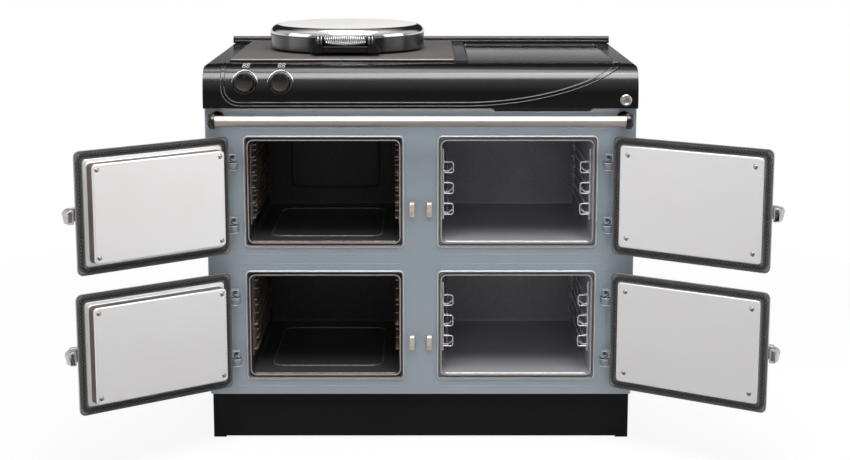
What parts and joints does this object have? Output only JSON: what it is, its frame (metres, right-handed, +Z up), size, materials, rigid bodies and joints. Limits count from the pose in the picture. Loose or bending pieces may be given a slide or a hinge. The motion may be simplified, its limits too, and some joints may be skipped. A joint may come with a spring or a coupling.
{
  "type": "range cooker",
  "caption": "Cast iron range cooker with side-hung oven doors, a lidded boiling plate, a glass hob, a handrail and turned controls.",
  "frame": {"origin": "on the floor, under the centre of the body's width and depth", "axes": "+X to the right as seen from the front, +Y from the front to the back, +Z up"},
  "size_m": [1.5708, 0.8951, 0.959],
  "materials": {
    "grey_enamel": "gloss enamel",
    "black_enamel": "gloss enamel",
    "oven_black": "vitreous enamel",
    "oven_grey": "vitreous enamel",
    "plate_enamel": "satin enamel",
    "bare_iron": "machined",
    "satin_black": "satin",
    "frame_steel": "satin",
    "stainless": "brushed",
    "bright_chrome": "polished",
    "lid_polish": "polished",
    "black_moulding": "satin",
    "hob_black_glass": "polished",
    "trim_steel": "satin",
    "rope": "braided",
    "mineral_fill": "fibrous",
    "switch_body": "satin",
    "element_sheath": "oxidised",
    "door_pan": "satin",
    "cast_alloy": "as cast",
    "pin_steel": "turned"
  },
  "bodies": {
    "body": {"plinth": "satin_black", "base_frame": "frame_steel", "levelling_feet": "satin_black", "front_plate": "grey_enamel", "left_side_panel": "grey_enamel", "right_side_panel": "grey_enamel", "back_panel": "frame_steel", "top_casting": "black_enamel", "rear_rail": "black_enamel", "hotplate_surround": "plate_enamel", "hotplate": "bare_iron", "divider_strip": "black_enamel", "hob_glass": "hob_black_glass", "hob_trim": "trim_steel", "induction_unit": "frame_steel", "fascia_stud": "bright_chrome", "knob_bezels": "bright_chrome", "rotary_switches": "switch_body", "handrail": "stainless", "handrail_brackets": "black_moulding", "upper_left_oven": "oven_black", "upper_right_oven": "oven_grey", "lower_left_oven": "oven_black", "lower_right_oven": "oven_grey", "left_oven_runners": "oven_black", "right_oven_racks": "bright_chrome", "oven_baffle": "oven_black", "heating_elements": "element_sheath", "insulation": "mineral_fill", "keepers": "stainless", "hinge_brackets": "grey_enamel", "hinge_pins": "pin_steel", "lid_hinge_bracket": "black_moulding"},
    "lid": {"lid_dome": "lid_polish", "lid_band": "black_enamel", "lid_lining": "lid_polish", "lid_hinge_arm": "black_moulding", "handle_brackets": "black_moulding", "handle_spring": "bright_chrome", "handle_guard": "black_moulding"},
    "left_control": {"left_knob": "black_moulding", "left_spindle": "pin_steel"},
    "right_control": {"right_knob": "black_moulding", "right_spindle": "pin_steel"},
    "upper_left_door_body": {"upper_left_door": "grey_enamel", "upper_left_door_seal": "rope", "upper_left_door_liner": "door_pan", "upper_left_door_latch": "cast_alloy"},
    "upper_right_door_body": {"upper_right_door": "grey_enamel", "upper_right_door_seal": "rope", "upper_right_door_liner": "door_pan", "upper_right_door_latch": "cast_alloy"},
    "lower_left_door_body": {"lower_left_door": "grey_enamel", "lower_left_door_seal": "rope", "lower_left_door_liner": "door_pan", "lower_left_door_latch": "cast_alloy"},
    "lower_right_door_body": {"lower_right_door": "grey_enamel", "lower_right_door_seal": "rope", "lower_right_door_liner": "door_pan", "lower_right_door_latch": "cast_alloy"}
  },
  "joints": [
    {"name": "upper_left_door_hinge", "type": "hinge", "parent": "body", "child": "upper_left_door_body", "pos_m": [-0.43, -0.328, 0.596], "axis": [0, 0, 1], "range_deg": [-8, 142]},
    {"name": "upper_right_door_hinge", "type": "hinge", "parent": "body", "child": "upper_right_door_body", "pos_m": [0.43, -0.328, 0.596], "axis": [0, 0, -1], "range_deg": [-3, 147]},
    {"name": "lower_left_door_hinge", "type": "hinge", "parent": "body", "child": "lower_left_door_body", "pos_m": [-0.43, -0.328, 0.28], "axis": [0, 0, 1], "range_deg": [-6, 144]},
    {"name": "lower_right_door_hinge", "type": "hinge", "parent": "body", "child": "lower_right_door_body", "pos_m": [0.43, -0.328, 0.28], "axis": [0, 0, -1], "range_deg": [-2, 148]},
    {"name": "lid_hinge", "type": "hinge", "parent": "body", "child": "lid", "pos_m": [-0.18225, 0.259, 0.914], "axis": [-1, 0, 0], "range_deg": [0, 80]},
    {"name": "left_control_turn", "type": "hinge", "parent": "body", "child": "left_control", "pos_m": [-0.398, -0.32414, 0.8475], "axis": [0, 0.9659, -0.2588], "range_deg": [0, 270]},
    {"name": "right_control_turn", "type": "hinge", "parent": "body", "child": "right_control", "pos_m": [-0.317, -0.32414, 0.8475], "axis": [0, 0.9659, -0.2588], "range_deg": [0, 270]}
  ]
}
